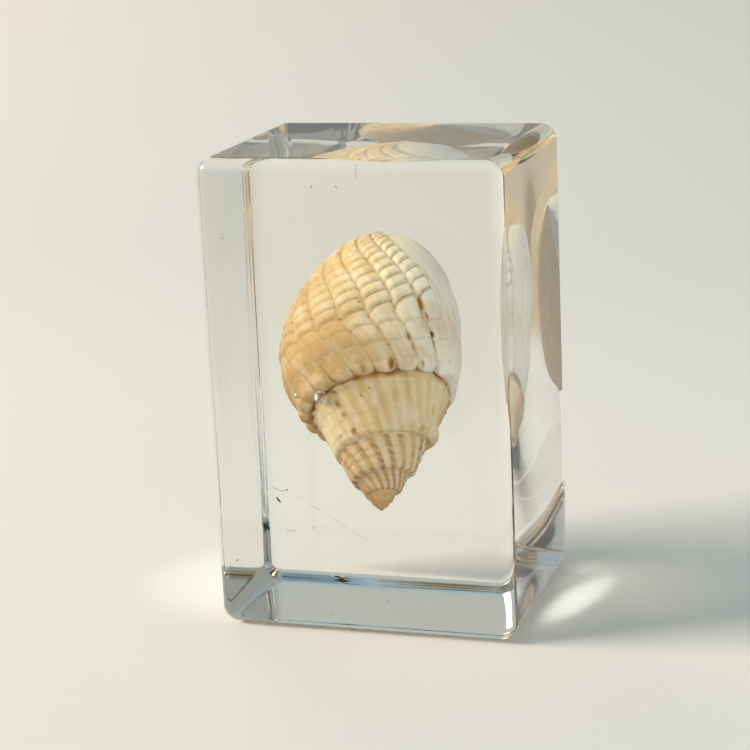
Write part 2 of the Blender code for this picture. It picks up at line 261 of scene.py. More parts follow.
# what the mesh tells its material, point by point
shellFacts = ("crest", "cord", "age", "level", "streak", "ochre", "dark", "shown", "channel")


def outlineRadius(outline, share):
    points = np.array(outline)
    step = np.diff(points[:, 0])
    slope = np.diff(points[:, 1]) / step
    tangent = np.concatenate([[0.0], (slope[:-1] + slope[1:]) / 2.0, [slope[-1]]])
    index = np.clip(np.searchsorted(points[:, 0], share, side="right") - 1, 0, len(step) - 1)
    t = (share - points[index, 0]) / step[index]
    start = (1 + 2 * t) * (1 - t) ** 2 * points[index, 1] + t * (1 - t) ** 2 * step[index] * tangent[index]
    end = t * t * (3 - 2 * t) * points[index + 1, 1] + t * t * (t - 1) * step[index] * tangent[index + 1]
    return start + end


def sutureLine(s, age):
    slowing = math.log(s["spireWidening"] / s["lastWidening"]) * s["wideningChange"]
    growth = math.log(s["spireWidening"]) * age - slowing * (1.0 - np.exp(-age / s["wideningChange"]))
    radius = s["sutureRadius"] * np.exp(-growth)
    height = s["sutureHeight"] * s["heightGain"] ** (-age)
    height = height - s["lipDrop"] * np.clip(1.0 - age / s["lipDropSpan"], 0.0, 1.0) ** 2
    return radius, height


def widestLine(s, age):
    nextRadius, nextHeight = sutureLine(s, np.maximum(age - 1.0, 0.0))
    radius = s["bodyRadius"] * s["bodyRadiusGain"] ** (-age)
    height = s["bodyHeight"] * s["bodyHeightGain"] ** (-age)
    covered = smoothStep(0.6, 1.0, age)
    return radius + (nextRadius - radius) * covered, height + (nextHeight - height) * covered


def ageOf(s, rib):
    # rib counts ribs back from the lip, and the age is in turns
    turns = np.linspace(0.0, 1.0, 2001)
    share = turns + s["ribCrowding"] * np.sin(2 * math.pi * turns) / (2 * math.pi)
    perTurn = s["ribsPerTurn"]
    whole = np.floor(rib / perTurn)
    return whole + np.interp(rib / perTurn - whole, share, turns)


def whorlSurface(s, rib, across):
    # across is 0 at the suture, 1 at the widest line and 2 at the canal
    age = ageOf(s, rib + across)
    sutureRadius, sutureHeight = sutureLine(s, age)
    wideRadius, wideHeight = widestLine(s, age)
    near = np.clip(across, 0.0, 1.0)
    beyond = np.clip(across - 1.0, 0.0, 1.0)
    roundness = 1.0 - smoothStep(0.67, 1.0, age)
    bulge = (1.0 - roundness) * near + roundness * np.sin(near * math.pi / 2)
    shoulder = smoothStep(0.0, s["shoulderWidth"], near) * (1.0 - near) ** 0.8
    radius = sutureRadius + (wideRadius - sutureRadius) * bulge + s["shoulderStep"] * sutureRadius * shoulder
    radius = radius + s["spireStep"] * s["shoulderStep"] * sutureRadius * shoulder * smoothStep(1.8, 2.1, age)
    height = sutureHeight + (wideHeight - sutureHeight) * near
    inner = smoothStep(0.55, 1.0, age)
    outline = outlineRadius(s["backOutline"], beyond) * (1.0 - inner)
    outline = outline + outlineRadius(s["columnOutline"], beyond) * inner
    radius = np.where(across > 1.0, wideRadius * outline, radius)
    height = np.where(across > 1.0, wideHeight + (s["length"] - wideHeight) * beyond, height)
    angle = math.radians(s["lipAngle"]) - 2 * math.pi * age
    x = radius * np.sin(angle) + s["canalShift"] * beyond**2
    y = -radius * np.cos(angle)
    return np.stack([x, y, height], axis=-1)


def outward(points):
    normal = np.cross(np.gradient(points, axis=1), np.gradient(points, axis=0))
    normal /= np.linalg.norm(normal, axis=-1, keepdims=True) + 1e-12
    radial = points * np.array([1.0, 1.0, 0.0])
    return normal * np.sign(np.sum(normal * radial, axis=-1).mean())


def ribPhaseOf(s, rib, across):
    # a whole number in each furrow: wide ribs near the lip, narrower ones behind and on the spire
    broad, last = s["broadRibs"], s["ribsPerTurn"]
    rate, gain = s["broadRate"]
    front = np.minimum(rib, broad)
    phase = rate * front + gain * front**2 - s["ribGap"]
    phase = phase + s["narrowRate"] * np.clip(rib - broad, 0.0, last - broad)
    phase = phase + s["spireRate"] * np.clip(rib - last, 0.0, last)
    phase = phase + s["tipRate"] * np.maximum(rib - 2 * last, 0.0)
    return phase - s["ribLean"] * np.maximum(across - 1.1, 0.0) ** 2


def cordPhaseOf(s, age, across):
    # a whole number in each groove: the grooves run a little askew to the suture
    ahead, behind = np.maximum(s["askewFrom"] - age, 0.0), np.clip(age - 0.4, 0.0, 0.6)
    askew = s["askew"] * (1.0 + 1.3 * np.clip(across - 1.05, 0.0, 0.7)) * ahead**2
    askew = askew + s["askewBehind"] * (1.0 - np.exp(-behind / 0.2))
    level = across - askew * smoothStep(0.0, 1.0, across) * (age < 1.0)
    phase = np.interp(level, s["cordLines"], np.arange(len(s["cordLines"])))
    return phase * (1.0 + 0.25 * smoothStep(0.95, 1.1, age))


def reliefOf(s, rib, across):
    # height of ribs and cords over the smooth whorls, with the masks that the finish needs
    age = ageOf(s, rib)
    ribPhase = ribPhaseOf(s, rib, across)
    share = ribPhase - np.floor(ribPhase)  # 0 at the rib's near furrow, 1 at its far one
    inRib = np.abs(2.0 * share - 1.0)
    crest = 1.0 - 0.6 * inRib**7 - 0.4 * inRib**2.5
    cordPhase = cordPhaseOf(s, age, across) + s["cordDip"] * share**4
    inCord = cordPhase - np.floor(cordPhase)  # 0 at the cord's spire side, which is steep
    cord = (1.0 - np.exp(-inCord / 0.09)) * (1.0 - 0.5 * inCord**1.6)
    cord = cord * (1.0 - 0.45 * smoothStep(0.86, 1.0, inCord))
    sutureRadius, _ = sutureLine(s, age)
    size = np.clip(sutureRadius / 9.0, 0.0, 1.0)
    lipBand = smoothStep(s["lipBand"] - 0.3, s["lipBand"] + 0.15, ribPhase)
    underNext = 1.0 - smoothStep(0.9, 1.0, across) * smoothStep(0.8, 0.93, age)
    ends = smoothStep(0.0, 0.05, across) * (1.0 - smoothStep(1.85, 2.0, across)) * underNext
    innerLip = 1.0 - smoothStep(0.75, 0.93, age) * smoothStep(0.95, 1.05, across)
    tip = 1.0 - smoothStep(3.0, 3.6, age)
    glazed = 1.0 - (1.0 - s["spireFade"]) * smoothStep(0.85, 1.0, age) * (1.0 - smoothStep(1.75, 1.95, age))
    worn = s["worn"] * smoothStep(*s["wornRibs"], rib)
    worn = 1.0 - worn * (1.0 - smoothStep(0.92, 1.08, across)) * (age < 0.85)
    broadRows = 1.0 - 0.35 * (1.0 - smoothStep(0.95, 1.1, across)) * (age < 0.85)
    shown = size * lipBand * ends * innerLip * tip * glazed * worn
    cordShown = (0.3 + 0.7 * crest) * broadRows
    height = (s["ribHeight"] * crest + s["cordHeight"] * cord * cordShown) * shown
    knob = np.exp(-((across - s["knobLevel"]) / 0.1) ** 2) * crest * smoothStep(0.3, 0.5, age) * (age < 1.2)
    height = height + s["knobs"] * knob * ends * tip
    beads = np.exp(-((across - s["beadLevel"]) / 0.05) ** 2) * (1.0 - inRib**2)
    beads = beads * smoothStep(0.9, 1.05, age) * (age < 1.9)
    height = height + s["sutureBeads"] * beads * tip
    teeth = np.sin(math.pi * cordPhase) ** 2 * (1.0 - smoothStep(0.0, 0.5, rib))
    teeth = teeth * smoothStep(0.2, 0.5, across)
    height = height + s["lipTeeth"] * teeth * (1.0 - smoothStep(1.8, 2.0, across))
    edge = smoothStep(0.0, 0.05, across) * (1.0 - smoothStep(0.05, 0.35, across))
    drop = s["scallop"] * edge * (1.0 - inRib**2.5) * size**2 * lipBand * tip
    return height, drop, crest, cord, shown


def stainsOn(s, smooth, across, stains):
    # soft spots, measured on the shell itself
    total = np.zeros(across.shape)
    for atRib, level, length, width, depth in stains:
        line = int(round(atRib * s["linesPerRib"]))
        row = int(np.argmin(np.abs(across[line] - level)))
        centre = smooth[line, row]
        near = slice(max(line - s["stainReach"], 0), line + s["stainReach"])
        upwards = smooth[line, min(row + 4, across.shape[1] - 1)] - smooth[line, max(row - 4, 0)]
        upwards /= np.linalg.norm(upwards)
        away = smooth[near] - centre
        along = away @ upwards
        aside = np.sqrt(np.maximum(np.sum(away**2, axis=-1) - along**2, 0.0))
        spot = np.exp(-((along / length) ** 2 + (aside / width) ** 2) * 2.0)
        total[near] = np.maximum(total[near], np.minimum(1.5 * depth * spot, 1.0))
    return total


def shellMesh(s):
    finest = s["linesPerRib"]
    perTurn = s["ribsPerTurn"] * finest
    endLine = round(s["turns"] * perTurn)
    innerLine = perTurn - finest  # where the inner lip begins
    joinRow = s["nearRows"]
    lastRow = s["nearRows"] + s["farRows"]
    rows = np.concatenate([np.linspace(0, 1, joinRow + 1), 1 + np.linspace(0, 1, s["farRows"] + 1)[1:]])
    lineGrid, acrossGrid = np.meshgrid(np.arange(endLine + 1.0) / finest, rows, indexing="ij")
    smooth = whorlSurface(s, lineGrid, acrossGrid)
    height, drop, crest, cord, shown = reliefOf(s, lineGrid, acrossGrid)
    points = smooth + outward(smooth) * height[..., None]
    points[..., 2] -= drop
    points[:, 0] = smooth[:, 0]
    age = ageOf(s, lineGrid + acrossGrid)
    ochre = stainsOn(s, smooth, acrossGrid, s["ochreStains"])
    dark = stainsOn(s, smooth, acrossGrid, s["darkStains"])
    streak = ribPhaseOf(s, lineGrid, acrossGrid)
    ribAge = ageOf(s, lineGrid)
    channelFrom, channelTo = s["channelTurns"]
    channel = smoothStep(0.84, 0.98, acrossGrid) * (ribAge > channelFrom) * (ribAge < channelTo)
    channel = channel + 0.7 * (1.0 - smoothStep(0.0, 0.035, acrossGrid)) * (ribAge < 0.75)
    grids = (crest, cord, age, acrossGrid, streak, ochre, dark, shown, channel)

    verts, keys, facts = [], {}, []

    def keyOf(line, row):
        # a covered whorl's edge is the next turn's suture
        while row == joinRow and line >= innerLine:
            line, row = line - innerLine, 0
        return line, row

    def corner(line, row):
        key = keyOf(line, row)
        if key not in keys:
            keys[key] = len(verts)
            verts.append(points[key])
            facts.append([grid[key] for grid in grids])
        return keys[key]

    # the grid is finest on the last whorl, and coarser towards the tip
    cells = []
    line = 0
    while line < endLine:
        lineStep = 1 if line < innerLine else 2
        rowStep = 1 if line < 2 * perTurn else 2
        lineStep = min(lineStep, endLine - line)
        endRow = lastRow if line < innerLine else joinRow
        for row in range(0, endRow, rowStep):
            cells.append((line, row, lineStep, rowStep))
        line += lineStep
    for line, row, lineStep, rowStep in cells:
        farLine, farRow = line + lineStep, row + rowStep
        for at in ((line, row), (farLine, row), (farLine, farRow), (line, farRow)):
            corner(*at)
    faces = []
    for line, row, lineStep, rowStep in cells:
        walk = [(line + i, row) for i in range(lineStep)]
        walk += [(line + lineStep, row + i) for i in range(rowStep)]
        walk += [(line + lineStep - i, row + rowStep) for i in range(lineStep)]
        walk += [(line, row + rowStep - i) for i in range(rowStep)]
        faces.append([keys[keyOf(*at)] for at in walk if keyOf(*at) in keys])

    def addVert(point, fact):
        verts.append(tuple(point))
        facts.append(fact)
        return len(verts) - 1

    # the tip: the open edge of the first turn, closed by a blunt cap
    rim = []
    for line in range(endLine - innerLine, endLine + 1):
        if keyOf(line, 0) in keys:
            rim.append(keys[keyOf(line, 0)])
    for row in range(1, joinRow):
        if keyOf(endLine, row) in keys:
            rim.append(keys[keyOf(endLine, row)])
    rimHeight = sum(verts[i][2] for i in rim) / len(rim)
    tipHeight = rimHeight * s["tipHeightShare"]
    tipFact = (0.5, 0.5, s["turns"], 0.5, 120.0, 0.0, 0.0, 0.0, 0.0)
    dome = []
    for i in rim:
        x, y, z = verts[i]
        dome.append(addVert((x * s["tipBulge"], y * s["tipBulge"], (z + tipHeight) / 2), tipFact))
    tip = addVert((0.0, 0.0, tipHeight), tipFact)
    for index, vert in enumerate(rim):
        after = (index + 1) % len(rim)
        faces.append([vert, rim[after], dome[after], dome[index]])
        faces.append([dome[index], dome[after], tip])

    # the canal end
    canalRing = [corner(line, lastRow) for line in range(innerLine + 1)]
    canalFact = (0.0, 0.0, 0.5, 2.0, 0.0, 0.0, 0.0, 0.0, 0.0)
    canalTip = addVert((s["canalShift"], 0.0, s["length"] + 0.1), canalFact)
    for index, vert in enumerate(canalRing):
        faces.append([vert, canalTip, canalRing[(index + 1) % len(canalRing)]])

    # the aperture: up the outer lip, back down the inner lip, then inwards
    loop = [corner(0, row) for row in range(lastRow + 1)]
    loop += [corner(innerLine, row) for row in range(lastRow, joinRow, -1)]
    centre = np.mean([verts[i] for i in loop], axis=0)
    innerFact = (0.5, 0.5, 0.0, 1.0, 0.0, 0.0, 0.0, 0.0, 0.0)
    previous = loop
    for inset, turnBack in s["mouthSteps"]:
        cosTurn, sinTurn = math.cos(math.radians(turnBack)), math.sin(math.radians(turnBack))
        ring = []
        for i in loop:
            start = np.array(verts[i])
            towards = centre - start
            length = np.linalg.norm(towards)
            x, y, z = start + towards / length * min(inset, length * 0.35 * inset)
            ring.append(addVert((x * cosTurn + y * sinTurn, y * cosTurn - x * sinTurn, z), innerFact))
        for index in range(len(loop)):
            after = (index + 1) % len(loop)
            faces.append([previous[index], previous[after], ring[after], ring[index]])
        previous = ring
    middle = addVert(np.mean([verts[i] for i in previous], axis=0), innerFact)
    for index, vert in enumerate(previous):
        faces.append([vert, previous[(index + 1) % len(previous)], middle])

    mesh = bpy.data.meshes.new("shell_whorls")
    mesh.from_pydata((np.array(verts) * mm).tolist(), [], faces)
    for position, name in enumerate(shellFacts):
        layer = mesh.attributes.new(name, "FLOAT", "POINT")
        layer.data.foreach_set("value", [fact[position] for fact in facts])
    mesh.validate()
    mesh.update()
    return mesh


def turnOutwards(mesh):
    bm = bmesh.new()
    bm.from_mesh(mesh)
    bmesh.ops.recalc_face_normals(bm, faces=bm.faces)
    bm.to_mesh(mesh)
    bm.free()
    mesh.shade_smooth()


def shellPlacement(s):
    left, back = math.radians(s["leanLeft"]), math.radians(s["leanBack"])
    axis = Vector((-math.sin(left) * math.cos(back), math.sin(back), math.cos(left) * math.cos(back)))
    right = Vector((math.cos(left), 0.0, math.sin(left)))
    turn = Matrix((right, axis.cross(right), axis)).transposed()
    return Matrix.Translation(Vector(s["apex"]) * mm) @ turn.to_4x4()


def snailShellLime(s):
    # snail shell, lime laid down in layers as the snail grew: cream to tan, with a dull silky surface, and
    # painted shade in its grooves, furrows and pits and low on the last whorl
    # sealed in resin, which bends light nearly as lime does, so it keeps hardly any gloss
    material, tree, surface = newMaterial("snailShellLime")
    place = addNode(tree, "ShaderNodeTexCoord").outputs["Object"]
    masks = {}
    for name in shellFacts:
        masks[name] = addNode(tree, "ShaderNodeAttribute", {"attribute_name": name}).outputs["Fac"]

    patches = addNode(tree, "ShaderNodeTexNoise",
                      {"Scale": 1.0 / (s["patch"] * mm), "Detail": 3.0, "Roughness": 0.55}, {"Vector": place})
    blots = addNode(tree, "ShaderNodeTexNoise",
                    {"Scale": 1.0 / (s["blot"] * mm), "Detail": 2.0, "Distortion": 0.6}, {"Vector": place})
    grain = addNode(tree, "ShaderNodeTexNoise", {"Scale": 1.0 / (s["grain"] * mm), "Detail": 2.0},
                    {"Vector": place})
    alongRibs = addNode(tree, "ShaderNodeCombineXYZ", links={"X": masks["streak"], "Y": masks["level"]})
    stretched = addNode(tree, "ShaderNodeMapping", {"Scale": (1.0 / s["streakWidth"], 2.0, 1.0)},
                        {"Vector": alongRibs.outputs["Vector"]})
    streaks = addNode(tree, "ShaderNodeTexNoise", {"Scale": 1.0, "Detail": 4.0, "Roughness": 0.6},
                      {"Vector": stretched.outputs["Vector"]})
    ribShare = addNode(tree, "ShaderNodeMath", {"operation": "PINGPONG", 1: 0.5}, {0: masks["streak"]})
    masks["patches"], masks["blots"] = patches.outputs["Fac"], blots.outputs["Fac"]
    masks["grainNoise"], masks["streaks"] = grain.outputs["Fac"], streaks.outputs["Fac"]
    masks["ribShare"] = ribShare.outputs[0]  # 0 in the furrow, 0.5 on the rib
    for name, (followed, low, high, atLow, atHigh) in s["masks"].items():
        ends = {"From Min": low, "From Max": high, "To Min": atLow, "To Max": atHigh}
        mask = addNode(tree, "ShaderNodeMapRange", {"interpolation_type": "SMOOTHSTEP", **ends},
                       {"Value": masks[followed]})
        masks[name] = mask.outputs["Result"]

    oldest = s["byAge"][-1][0]
    turns = addNode(tree, "ShaderNodeMath", {"operation": "DIVIDE", 1: oldest}, {0: masks["age"]})
    body = addNode(tree, "ShaderNodeValToRGB", links={"Fac": turns.outputs[0]})
    ramp = body.color_ramp
    for position, (age, colour) in enumerate(s["byAge"]):
        stop = ramp.elements[position] if position < 2 else ramp.elements.new(age / oldest)
        stop.position, stop.color = age / oldest, linearColour(colour)
    colour = body.outputs["Color"]
    for (first, *others), tint in s["layers"]:
        share = masks[first]
        for other in others:
            both = addNode(tree, "ShaderNodeMath", {"operation": "MULTIPLY"}, {0: share, 1: masks[other]})
            share = both.outputs[0]
        layer = addNode(tree, "ShaderNodeMix", {"data_type": "RGBA", 7: linearColour(s[tint])},
                        {0: share, 6: colour})
        colour = layer.outputs[2]
    tree.links.new(colour, surface.inputs["Base Color"])

    tree.links.new(masks["dull"], surface.inputs["Roughness"])
    lines = addNode(tree, "ShaderNodeBump", {"Strength": 0.35, "Distance": s["ripple"] * mm},
                    {"Height": masks["streaks"]})
    pores = addNode(tree, "ShaderNodeBump", {"Strength": 0.3, "Distance": s["poreDepth"] * mm},
                    {"Height": masks["grainNoise"], "Normal": lines.outputs["Normal"]})
    tree.links.new(pores.outputs["Normal"], surface.inputs["Normal"])
    surface.inputs["Specular IOR Level"].default_value = s["gloss"]
    return material


shellLines = shellMesh(shellSettings)
turnOutwards(shellLines)
shell = addPiece("shell_in_resin", shellLines, snailShellLime(shellSettings))
shell.data.transform(shellPlacement(shellSettings))
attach(shell, "root")
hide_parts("shell")
print("shell grown:", len(shellLines.polygons), "faces")


# Resin: the cast block with its sanded edges.

resinSettings = {  # mm
    "width": 40.0,
    "depth": 31.8,
    "height": 62.0,
    "depthEdge": 2.2,
    "faceEdge": 1.7,
    "beside": 0.15,  # from each rounded edge to the first line on the flat
    "bubbles": (((-5.35, -11.2, 30.8), 0.95), ((-9.12, -8.64, 30.53), 0.5)),  # place, radius
    "scuff": 4.0,
    "ior": 1.52,
    "haze": 0.02,  # roughness where the buffing missed
    "wave": 22.0,  # where the sides were sanded and polished
    "waveDepth": 0.9,
    "tints": ("fbfcf8", "fefefc"),
}


def clearCastResin(s):
    # clear polyester casting resin, sanded and then buffed: glass clear, with a faint wave from the sander
    material, tree, surface = newMaterial("clearCastResin")
    place = addNode(tree, "ShaderNodeTexCoord")
    scuffs = addNode(tree, "ShaderNodeTexNoise",
                     {"Scale": 1.0 / (s["scuff"] * mm), "Detail": 6.0, "Roughness": 0.7},
                     {"Vector": place.outputs["Object"]})
    tone = addNode(tree, "ShaderNodeValToRGB", links={"Fac": scuffs.outputs["Fac"]})
    for stop, tint in zip(tone.color_ramp.elements, s["tints"]):
        stop.color = linearColour(tint)
    tree.links.new(tone.outputs["Color"], surface.inputs["Base Color"])
    buffed = addNode(tree, "ShaderNodeMapRange", {"From Min": 0.66, "From Max": 0.8, "To Max": s["haze"]},
                     {"Value": scuffs.outputs["Fac"]})
    tree.links.new(buffed.outputs["Result"], surface.inputs["Roughness"])
    waves = addNode(tree, "ShaderNodeTexNoise", {"Scale": 1.0 / (s["wave"] * mm), "Detail": 0.0},
                    {"Vector": place.outputs["Object"]})
    facing = addNode(tree, "ShaderNodeSeparateXYZ", links={"Vector": place.outputs["Normal"]})
    rightOrTop = addNode(tree, "ShaderNodeMath", {"operation": "MAXIMUM"},
                         {0: facing.outputs["X"], 1: facing.outputs["Z"]})
    strength = addNode(tree, "ShaderNodeMapRange", {"From Min": 0.5, "From Max": 0.9},
                       {"Value": rightOrTop.outputs[0]})
    bump = addNode(tree, "ShaderNodeBump", {"Distance": s["waveDepth"] * mm},
                   {"Height": waves.outputs["Fac"], "Strength": strength.outputs["Result"]})
    tree.links.new(bump.outputs["Normal"], surface.inputs["Normal"])
    surface.inputs["Transmission Weight"].default_value = 1.0
    surface.inputs["IOR"].default_value = s["ior"]
    return material


def blockOutline(s):
    # the block seen from the front: straight sides and round corners, with a point close beside each corner
    radius, beside = s["depthEdge"], s["beside"]
    halfWidth, height = s["width"] / 2, s["height"]
    corner = np.radians(np.linspace(0.0, 90.0, 17))
    centres = ((halfWidth - radius, height - radius), (radius - halfWidth, height - radius),
               (radius - halfWidth, radius), (halfWidth - radius, radius))
    points = []
    for quarter, (x, z) in enumerate(centres):
        angle = corner + quarter * math.pi / 2
        arc = np.stack([x + radius * np.cos(angle), z + radius * np.sin(angle)], axis=-1)
        nextX, nextZ = centres[(quarter + 1) % 4]
        angle = (quarter + 1) * math.pi / 2
        end = np.array([nextX + radius * math.cos(angle), nextZ + radius * math.sin(angle)])
        length = np.linalg.norm(end - arc[-1])
        along = np.concatenate([[beside], np.linspace(1.0, length - 1.0, round(length)), [length - beside]])
        points.append(arc)
        points.append(arc[-1] + (end - arc[-1]) * along[:, None] / length)
    return np.concatenate(points)


def blockMesh(s):
    # rings of the outline, from the middle of the front face, round its edge and along the depth to the back
    outline = blockOutline(s)
    middle = np.array([0.0, s["height"] / 2])
    edge, halfDepth = s["faceEdge"], s["depth"] / 2
    steps = outline - np.roll(outline, 1, axis=0)
    inwards = np.stack([-steps[:, 1], steps[:, 0]], axis=-1)
    inwards = inwards + np.roll(inwards, -1, axis=0)
    inwards /= np.linalg.norm(inwards, axis=1, keepdims=True)
    rim = outline + inwards * edge
    rings = [(middle + (rim - middle) * share, -halfDepth) for share in np.linspace(0.05, 0.95, 19)]
    rings.append((rim + inwards * s["beside"], -halfDepth))
    for turn in np.radians(np.linspace(0.0, 90.0, 11)):
        inset = edge * (1.0 - math.sin(turn))
        rings.append((outline + inwards * inset, -halfDepth + edge * (1.0 - math.cos(turn))))
    sides = np.concatenate([[-halfDepth + edge + s["beside"]], np.linspace(-halfDepth + edge + 1.0, 0.0, 14)])
    rings += [(outline, y) for y in sides]
    rings += [(loop, -y) for loop, y in reversed(rings[:-1])]
    points = [(x, y, z) for loop, y in rings for x, z in loop]
    count = len(outline)
    faces = []
    for ring in range(len(rings) - 1):
        for i in range(count):
            j = (i + 1) % count
            faces.append([ring * count + i, ring * count + j, (ring + 1) * count + j, (ring + 1) * count + i])
    for first, y in ((0, -halfDepth), ((len(rings) - 1) * count, halfDepth)):
        points.append((middle[0], y, middle[1]))
        faces += [[first + i, first + (i + 1) % count, len(points) - 1] for i in range(count)]
    mesh = bpy.data.meshes.new("resin_block")
    mesh.from_pydata((np.array(points) * mm).tolist(), [], faces)
    mesh.update()
    return mesh


def addBubbles(mesh, bubbles):
    # air: the walls face into the bubble
    bm = bmesh.new()
    bm.from_mesh(mesh)
    for centre, radius in bubbles:
        sphere = bmesh.ops.create_icosphere(bm, subdivisions=4, radius=radius * mm)
        for vert in sphere["verts"]:
            vert.co += Vector(centre) * mm
        walls = {face for vert in sphere["verts"] for face in vert.link_faces}
        bmesh.ops.reverse_faces(bm, faces=list(walls))
    for face in bm.faces:
        face.smooth = True
    bm.to_mesh(mesh)
    bm.free()


resinBlock = blockMesh(resinSettings)
turnOutwards(resinBlock)
addBubbles(resinBlock, resinSettings["bubbles"])
resin = addPiece("resin_block", resinBlock, clearCastResin(resinSettings))
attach(resin, "root")
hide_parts("resin_front", "resin_back")
print("resin cast")


# Grit: what fell into the resin as it was poured, all of it in one piece.

gritSettings = {  # mm
    "grains": (  # place, radii, turn in degrees
        ((-11.75, -12.0, 16.7), (0.34, 0.1, 0.14), 40), ((-12.0, -12.0, 17.05), (0.16, 0.1, 0.1), 10),
        ((-10.3, -13.0, 18.4), (0.12, 0.09, 0.09), 0), ((-5.08, -12.0, 58.16), (0.05, 0.04, 0.2), 12),
        ((-2.23, -10.0, 57.96), (0.06, 0.05, 0.18), -10), ((-16.9, -14.0, 51.7), (0.1, 0.06, 0.07), 20),
        ((-8.1, -8.0, 12.3), (0.1, 0.07, 0.06), 0), ((-5.1, -13.0, 1.7), (0.12, 0.06, 0.05), 30),
        ((2.8, -13.0, 4.0), (0.1, 0.06, 0.06), 0), ((-17.6, -14.0, 8.5), (0.16, 0.1, 0.09), -30),
    ),
    "hairs": (  # the points that each one runs through
        ((-12.3, -13.0, 18.8), (-11.9, -13.0, 18.5), (-11.2, -13.0, 18.2), (-10.4, -13.0, 18.35)),
        ((0.31, -9.0, 60.2), (0.22, -9.0, 59.5), (0.26, -9.0, 58.8)),
        ((-11.6, -9.0, 12.05), (-11.0, -9.0, 11.95), (-10.4, -9.0, 12.1)),
    ),
    "hairRadius": 0.03,
    "scratches": (  # fine dashes just under the front face
        ((-8.03, -15.5, 18.04), (-7.6, -15.5, 17.76)), ((-6.9, -15.5, 17.3), (-5.13, -15.5, 16.17)),
        ((-4.06, -15.5, 15.69), (-2.9, -15.5, 15.0)), ((-2.4, -15.5, 14.7), (-1.43, -15.5, 14.08)),
        ((-0.9, -15.5, 13.7), (0.8, -15.5, 12.72)),
    ),
    "scratchRadius": 0.012,
    "colours": ("4a4338", "6f6450"),
    "speckle": 0.08,
}


def gritMesh(s):
    bm = bmesh.new()
    for index, (place, radii, turn) in enumerate(s["grains"]):
        grain = bmesh.ops.create_icosphere(bm, subdivisions=3, radius=1.0)
        spin = Matrix.Rotation(math.radians(turn), 4, "Y")
        for vert in grain["verts"]:
            x, y, z = vert.co
            lump = 1.0 + 0.22 * math.sin(3.1 * x + 2.3 * z + index) * math.cos(2.7 * y + index)
            vert.co = (spin @ (Vector(r * v for r, v in zip(radii, vert.co)) * lump) + Vector(place)) * mm
    routes = [(route, s["hairRadius"]) for route in s["hairs"]]
    routes += [(route, s["scratchRadius"]) for route in s["scratches"]]
    for route, radius in routes:
        rings = []
        for step, point in enumerate(route):
            before, after = Vector(route[max(step - 1, 0)]), Vector(route[min(step + 1, len(route) - 1)])
            turn = (after - before).to_track_quat("Z", "Y")
            corners = [turn @ Vector((math.cos(a), math.sin(a), 0.0)) * radius + Vector(point)
                       for a in (i * math.pi / 4 for i in range(8))]
            rings.append([bm.verts.new(corner * mm) for corner in corners])
        for near, far in zip(rings, rings[1:]):
            for i in range(8):
                bm.faces.new((near[i], near[(i + 1) % 8], far[(i + 1) % 8], far[i]))
        bm.faces.new(rings[0])
        bm.faces.new(rings[-1])
    mesh = bpy.data.meshes.new("grit")
    bm.to_mesh(mesh)
    bm.free()
    return mesh


def seaGrit(s):
    # dark sand and threads of dust: dull and uneven
    material, tree, surface = newMaterial("seaGrit")
    place = addNode(tree, "ShaderNodeTexCoord")
    speckle = addNode(tree, "ShaderNodeTexNoise", {"Scale": 1.0 / (s["speckle"] * mm), "Detail": 2.0},
                      {"Vector": place.outputs["Object"]})
    tone = addNode(tree, "ShaderNodeValToRGB", links={"Fac": speckle.outputs["Fac"]})
    for stop, colour in zip(tone.color_ramp.elements, s["colours"]):
        stop.color = linearColour(colour)
    tree.links.new(tone.outputs["Color"], surface.inputs["Base Color"])
    rough = addNode(tree, "ShaderNodeMapRange", {"To Min": 0.6, "To Max": 0.9},
                    {"Value": speckle.outputs["Fac"]})
    tree.links.new(rough.outputs["Result"], surface.inputs["Roughness"])
    bump = addNode(tree, "ShaderNodeBump", {"Strength": 0.5, "Distance": 0.01 * mm},
                   {"Height": speckle.outputs["Fac"]})
    tree.links.new(bump.outputs["Normal"], surface.inputs["Normal"])
    return material


gritLumps = gritMesh(gritSettings)
turnOutwards(gritLumps)
grit = addPiece("grit_in_resin", gritLumps, seaGrit(gritSettings))
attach(grit, "root")
print("grit strewn")


# Studio: a pale floor, a wide warm window on the left and a cool room all round.

